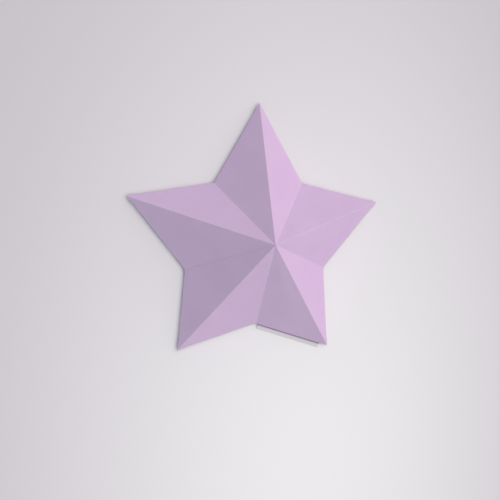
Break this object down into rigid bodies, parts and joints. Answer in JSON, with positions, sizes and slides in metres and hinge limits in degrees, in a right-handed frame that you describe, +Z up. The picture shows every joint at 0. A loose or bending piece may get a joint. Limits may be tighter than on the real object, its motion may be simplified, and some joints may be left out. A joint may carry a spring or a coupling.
{
  "type": "paper star decoration",
  "caption": "Raised five-pointed card star, scored and folded from one lilac sheet, with ridges along its arms and folded glue tabs under its rim.",
  "frame": {"origin": "on the surface that the star stands on, under the middle of its outline's box", "axes": "+Z up through the peak's side, square to the surface; +Y towards the top arm's tip; +X across the star, towards the right arm"},
  "size_m": [0.162, 0.1543, 0.04],
  "materials": {
    "card_face": "matt lilac card, smooth, with faint fibre grain",
    "card_tab": "matt lilac card, folded tabs and seam"
  },
  "bodies": {
    "lower_left_arm_right_panel": {"lower_left_arm_right_panel": "card_face"},
    "lower_left_arm_left_panel": {"lower_left_arm_left_panel": "card_face"},
    "lower_right_arm_right_panel": {"lower_right_arm_right_panel": "card_face"},
    "lower_right_arm_left_panel": {"lower_right_arm_left_panel": "card_face"},
    "right_arm_right_panel": {"right_arm_right_panel": "card_face"},
    "right_arm_left_panel": {"right_arm_left_panel": "card_face"},
    "top_arm_right_panel": {"top_arm_right_panel": "card_face"},
    "top_arm_left_panel": {"top_arm_left_panel": "card_face"},
    "left_arm_right_panel": {"left_arm_right_panel": "card_face"},
    "left_arm_left_panel": {"left_arm_left_panel": "card_face", "seam_tab": "card_tab"},
    "lower_left_arm_right_tab": {"lower_left_arm_right_tab": "card_tab"},
    "lower_left_arm_left_tab": {"lower_left_arm_left_tab": "card_tab"},
    "lower_right_arm_right_tab": {"lower_right_arm_right_tab": "card_tab"},
    "lower_right_arm_left_tab": {"lower_right_arm_left_tab": "card_tab"},
    "right_arm_right_tab": {"right_arm_right_tab": "card_tab"},
    "right_arm_left_tab": {"right_arm_left_tab": "card_tab"},
    "top_arm_right_tab": {"top_arm_right_tab": "card_tab"},
    "top_arm_left_tab": {"top_arm_left_tab": "card_tab"},
    "left_arm_right_tab": {"left_arm_right_tab": "card_tab"},
    "left_arm_left_tab": {"left_arm_left_tab": "card_tab"}
  },
  "joints": [
    {"name": "right_arm_right_tab_fold", "type": "hinge", "parent": "right_arm_right_tab", "child": "right_arm_right_panel", "pos_m": [0.06178, -0.00553, 0.00212], "axis": [-0.6418, -0.7669, 0], "range_deg": [-3.35, 4.16]},
    {"name": "right_arm_ridge", "type": "hinge", "parent": "right_arm_right_panel", "child": "right_arm_left_panel", "pos_m": [0, -0.0086, 0.04012], "axis": [0.8691, 0.2824, -0.4061], "range_deg": [-8, 10], "stiffness_Nm_per_rad": 0.1},
    {"name": "lower_left_arm_ridge", "type": "hinge", "parent": "lower_left_arm_left_panel", "child": "lower_left_arm_right_panel", "pos_m": [0, -0.0086, 0.04012], "axis": [0.5425, 0.7331, 0.4101], "range_deg": [-7.2, 8.98]},
    {"name": "lower_right_lower_left_valley", "type": "hinge", "parent": "lower_right_arm_right_panel", "child": "lower_left_arm_left_panel", "pos_m": [0, -0.0086, 0.04012], "axis": [0, -0.8101, -0.5863], "range_deg": [-5.36, 6.67]},
    {"name": "lower_right_arm_ridge", "type": "hinge", "parent": "lower_right_arm_left_panel", "child": "lower_right_arm_right_panel", "pos_m": [0, -0.0086, 0.04012], "axis": [-0.5296, 0.7425, 0.4101], "range_deg": [-8.69, 10.84]},
    {"name": "right_lower_right_valley", "type": "hinge", "parent": "right_arm_right_panel", "child": "lower_right_arm_left_panel", "pos_m": [0, -0.0086, 0.04012], "axis": [0.732, -0.281, -0.6207], "range_deg": [-5.28, 6.57]},
    {"name": "top_right_valley", "type": "hinge", "parent": "right_arm_left_panel", "child": "top_arm_right_panel", "pos_m": [0, -0.0086, 0.04012], "axis": [-0.4734, -0.6169, 0.6287], "range_deg": [-6.44, 8.03]},
    {"name": "top_arm_ridge", "type": "hinge", "parent": "top_arm_right_panel", "child": "top_arm_left_panel", "pos_m": [0, -0.0086, 0.04012], "axis": [-0.008, 0.9147, -0.4042], "range_deg": [-8.04, 10.02]},
    {"name": "left_top_valley", "type": "hinge", "parent": "top_arm_left_panel", "child": "left_arm_right_panel", "pos_m": [0, -0.0086, 0.04012], "axis": [0.4852, -0.5992, 0.6369], "range_deg": [-4.91, 6.11]},
    {"name": "left_arm_ridge", "type": "hinge", "parent": "left_arm_right_panel", "child": "left_arm_left_panel", "pos_m": [0, -0.0086, 0.04012], "axis": [-0.8691, 0.2824, -0.4061], "range_deg": [-7.18, 8.95]},
    {"name": "lower_left_arm_right_tab_fold", "type": "hinge", "parent": "lower_left_arm_right_panel", "child": "lower_left_arm_right_tab", "pos_m": [-0.04808, -0.04944, 0.00212], "axis": [-0.0804, -0.9968, 0], "range_deg": [-107, 32]},
    {"name": "lower_left_arm_left_tab_fold", "type": "hinge", "parent": "lower_left_arm_left_panel", "child": "lower_left_arm_left_tab", "pos_m": [-0.02322, -0.06823, 0.00212], "axis": [0.956, 0.2934, 0], "range_deg": [-110, 32]},
    {"name": "lower_right_arm_right_tab_fold", "type": "hinge", "parent": "lower_right_arm_right_panel", "child": "lower_right_arm_right_tab", "pos_m": [0.02264, -0.06862, 0.00212], "axis": [0.9491, -0.3151, 0], "range_deg": [-32, 110]},
    {"name": "lower_right_arm_left_tab_fold", "type": "hinge", "parent": "lower_right_arm_left_panel", "child": "lower_right_arm_left_tab", "pos_m": [0.04678, -0.04961, 0.00212], "axis": [-0.0822, 0.9966, 0], "range_deg": [-106, 32]},
    {"name": "right_arm_left_tab_fold", "type": "hinge", "parent": "right_arm_left_panel", "child": "right_arm_left_tab", "pos_m": [0.053, 0.02366, 0.00212], "axis": [-0.9794, 0.2019, 0], "range_deg": [-106, 32]},
    {"name": "top_arm_right_tab_fold", "type": "hinge", "parent": "top_arm_right_panel", "child": "top_arm_right_tab", "pos_m": [0.01496, 0.05133, 0.00212], "axis": [-0.5163, 0.8564, 0], "range_deg": [-107, 32]},
    {"name": "top_arm_left_tab_fold", "type": "hinge", "parent": "top_arm_left_panel", "child": "top_arm_left_tab", "pos_m": [-0.01583, 0.05053, 0.00212], "axis": [-0.4894, -0.8721, 0], "range_deg": [-106, 32]},
    {"name": "left_arm_right_tab_fold", "type": "hinge", "parent": "left_arm_right_panel", "child": "left_arm_right_tab", "pos_m": [-0.05316, 0.02283, 0.00212], "axis": [-0.9845, -0.1754, 0], "range_deg": [-104, 32]},
    {"name": "left_arm_left_tab_fold", "type": "hinge", "parent": "left_arm_left_panel", "child": "left_arm_left_tab", "pos_m": [-0.06252, -0.00583, 0.00212], "axis": [0.6223, -0.7828, 0], "range_deg": [-109, 32]}
  ],
  "couplings": [
    {"joint": "right_arm_right_tab_fold", "follows": "right_arm_ridge", "ratio": 0.406},
    {"joint": "lower_left_arm_ridge", "follows": "right_arm_ridge", "ratio": 0.888},
    {"joint": "lower_right_lower_left_valley", "follows": "right_arm_ridge", "ratio": 0.657},
    {"joint": "lower_right_arm_ridge", "follows": "right_arm_ridge", "ratio": 1.074},
    {"joint": "right_lower_right_valley", "follows": "right_arm_ridge", "ratio": 0.647},
    {"joint": "top_right_valley", "follows": "right_arm_ridge", "ratio": 0.793},
    {"joint": "top_arm_ridge", "follows": "right_arm_ridge", "ratio": 0.992},
    {"joint": "left_top_valley", "follows": "right_arm_ridge", "ratio": 0.601},
    {"joint": "left_arm_ridge", "follows": "right_arm_ridge", "ratio": 0.885}
  ]
}
